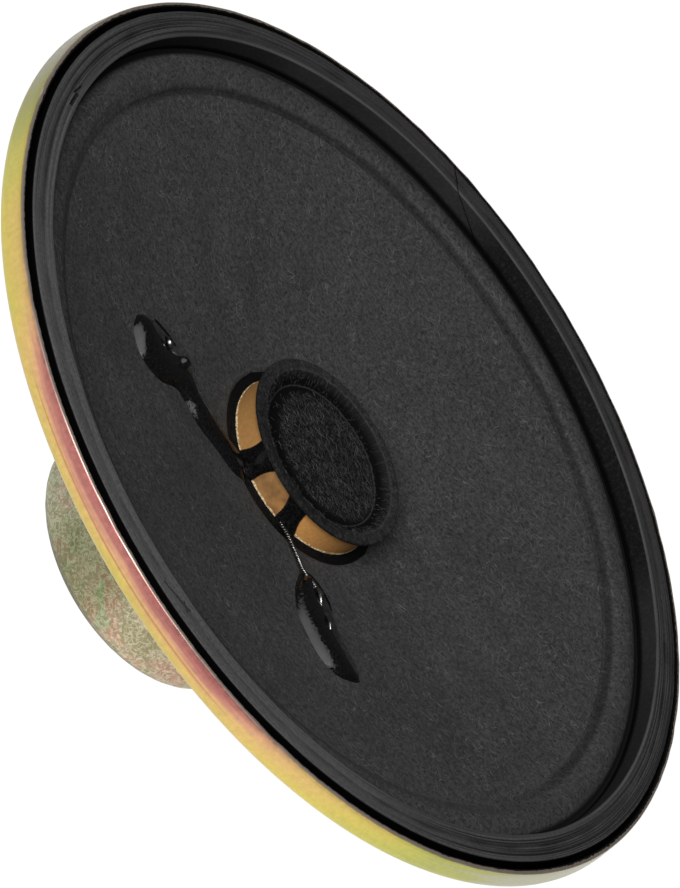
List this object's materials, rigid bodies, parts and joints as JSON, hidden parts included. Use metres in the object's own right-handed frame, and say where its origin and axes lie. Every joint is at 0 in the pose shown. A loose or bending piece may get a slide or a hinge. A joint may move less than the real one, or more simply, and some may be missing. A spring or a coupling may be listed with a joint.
{
  "type": "miniature loudspeaker driver",
  "caption": "Bare round moving-coil loudspeaker driver with a paper cone, felt dust cap, pressed-steel basket, card gasket and a deep-drawn magnet pot.",
  "frame": {"origin": "centre of the magnet pot's flat back", "axes": "+Z along the axis towards the front of the cone; the two glued lead joints and the terminal board are on the -Y side"},
  "size_m": [0.066, 0.066, 0.0218],
  "materials": {
    "chromate_steel": "zinc with yellow chromate, satin and iridescent",
    "black_card": "matte laminated card",
    "treated_cloth": "doped cloth, low sheen",
    "cone_paper": "fibrous pressed pulp, matte",
    "black_felt": "fuzzy felt",
    "kraft_paper": "smooth kraft paper",
    "enamelled_copper": "enamelled copper wire",
    "tinned_wire": "tinned wire",
    "spider_cloth": "resin-stiffened open weave",
    "black_glue": "glossy dried adhesive",
    "solder": "bright solder",
    "tinsel_braid": "braided tinsel",
    "passivated_steel": "zinc with pale passivation, mottled",
    "magnet_alloy": "plain sintered magnet",
    "laminate": "paper laminate",
    "tinned_brass": "tinned",
    "rivet_brass": "plain brass"
  },
  "bodies": {
    "frame": {"basket": "chromate_steel", "gasket_ring": "black_card", "magnet_pot": "passivated_steel", "magnet": "magnet_alloy", "pole_piece": "passivated_steel", "front_plate": "passivated_steel", "terminal_board": "laminate", "solder_lug_left": "tinned_brass", "solder_lug_right": "tinned_brass", "lug_rivets": "rivet_brass", "board_rivet": "rivet_brass", "lug_solder": "solder"},
    "cone": {"cone": "cone_paper", "surround": "treated_cloth", "dust_cap": "black_felt", "voice_coil_former": "kraft_paper", "voice_coil_winding": "enamelled_copper", "spider": "spider_cloth", "neck_glue_ring": "black_glue", "former_glue": "black_glue", "coil_lead_left": "enamelled_copper", "coil_lead_right": "tinned_wire", "lead_joint_left": "solder", "lead_joint_right": "solder", "glue_bead_left": "black_glue", "glue_bead_right": "black_glue", "tinsel_lead_left": "tinsel_braid", "tinsel_lead_right": "tinsel_braid"}
  },
  "joints": [
    {"name": "cone_travel", "type": "slide", "parent": "frame", "child": "cone", "axis": [0, 0, 1], "range_m": [-0.001, 0.001], "stiffness_N_per_m": 1200, "deforming": ["surround", "spider", "tinsel_lead_left", "tinsel_lead_right"]}
  ]
}
